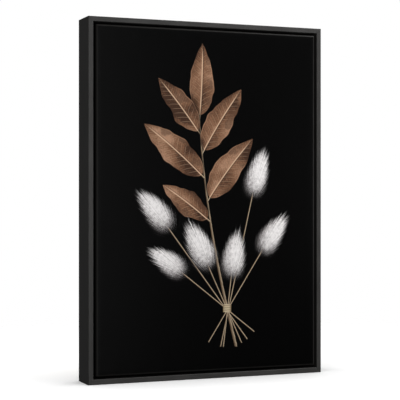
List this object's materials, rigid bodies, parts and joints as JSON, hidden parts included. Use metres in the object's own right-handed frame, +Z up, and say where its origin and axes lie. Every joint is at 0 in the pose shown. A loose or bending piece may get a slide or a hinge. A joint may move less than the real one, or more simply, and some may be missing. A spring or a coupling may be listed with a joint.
{
  "type": "framed canvas print",
  "caption": "Portrait stretched canvas print that floats inside a deep black frame, with a serrated hanger on the back for hanging it on a wall.",
  "frame": {"origin": "on the wall plane, at the middle notch of the hanger behind the top rail, where a hook carries the frame", "axes": "+X to the right of someone facing the print, the print faces -Y, the wall is the plane y = 0, +Z up"},
  "size_m": [0.4858, 0.0665, 0.689],
  "materials": {
    "black_lacquer": "satin black lacquer on wood, edges slightly eased",
    "pine": "planed bare pine",
    "printed_canvas": "printed cotton canvas with a low satin coat, black ground with dried leaves and pale grass heads",
    "zinc_steel": "bright zinc plate",
    "grey_rubber": "matt rubber"
  },
  "bodies": {
    "root": {"rail_top": "black_lacquer", "rail_bottom": "black_lacquer", "rail_left": "black_lacquer", "rail_right": "black_lacquer", "stretcher_bar_top": "pine", "stretcher_bar_bottom": "pine", "stretcher_bar_left": "pine", "stretcher_bar_right": "pine", "canvas": "printed_canvas", "hanger_strip": "zinc_steel", "hanger_nail_left": "zinc_steel", "hanger_nail_right": "zinc_steel", "wall_bumper_left": "grey_rubber", "wall_bumper_right": "grey_rubber", "frame_screw_1": "zinc_steel", "frame_screw_2": "zinc_steel", "frame_screw_3": "zinc_steel", "frame_screw_4": "zinc_steel", "frame_screw_5": "zinc_steel", "frame_screw_6": "zinc_steel", "frame_screw_7": "zinc_steel", "frame_screw_8": "zinc_steel", "staple_01": "zinc_steel", "staple_02": "zinc_steel", "staple_03": "zinc_steel", "staple_04": "zinc_steel", "staple_05": "zinc_steel", "staple_06": "zinc_steel", "staple_07": "zinc_steel", "staple_08": "zinc_steel", "staple_09": "zinc_steel", "staple_10": "zinc_steel", "staple_11": "zinc_steel", "staple_12": "zinc_steel", "staple_13": "zinc_steel", "staple_14": "zinc_steel", "staple_15": "zinc_steel", "staple_16": "zinc_steel", "staple_17": "zinc_steel", "staple_18": "zinc_steel", "staple_19": "zinc_steel", "staple_20": "zinc_steel", "staple_21": "zinc_steel", "staple_22": "zinc_steel", "staple_23": "zinc_steel", "staple_24": "zinc_steel", "staple_25": "zinc_steel", "staple_26": "zinc_steel", "staple_27": "zinc_steel", "staple_28": "zinc_steel", "staple_29": "zinc_steel", "staple_30": "zinc_steel", "staple_31": "zinc_steel", "staple_32": "zinc_steel", "staple_33": "zinc_steel", "staple_34": "zinc_steel"}
  },
  "joints": []
}
